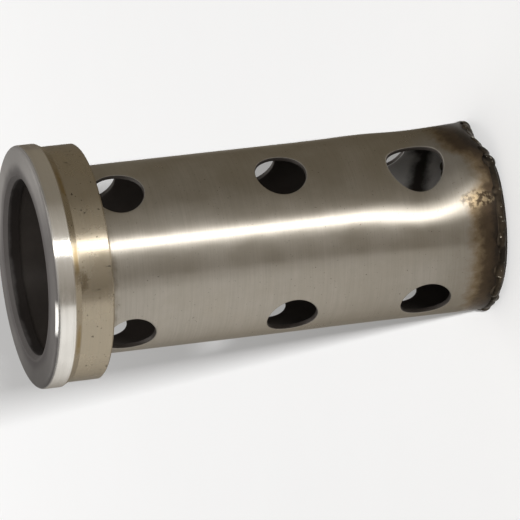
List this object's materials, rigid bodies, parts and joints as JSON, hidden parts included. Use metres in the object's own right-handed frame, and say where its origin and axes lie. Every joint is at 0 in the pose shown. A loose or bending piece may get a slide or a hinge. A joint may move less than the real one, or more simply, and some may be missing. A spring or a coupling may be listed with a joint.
{
  "type": "exhaust sound attenuator insert",
  "caption": "Drilled steel tube with a turned collar at its open mouth and a welded disc at its closed end, which damps the sound of a gas stream inside a pipe outlet.",
  "frame": {"origin": "centre of the outer face of the end disc, on the floor that the part stands on", "axes": "+Z along the tube's axis towards the open mouth, +X along the first drilling of each row"},
  "size_m": [0.062, 0.062, 0.121],
  "materials": {
    "turned_steel": "turned, satin, faintly straw tinted",
    "tube_steel": "brushed, heat tinted near the weld",
    "disc_steel": "dull sheet steel",
    "weld_metal": "scorched weld bead"
  },
  "bodies": {
    "root": {"collar": "turned_steel", "perforated_tube": "tube_steel", "end_disc": "disc_steel", "end_weld": "weld_metal"}
  },
  "joints": []
}
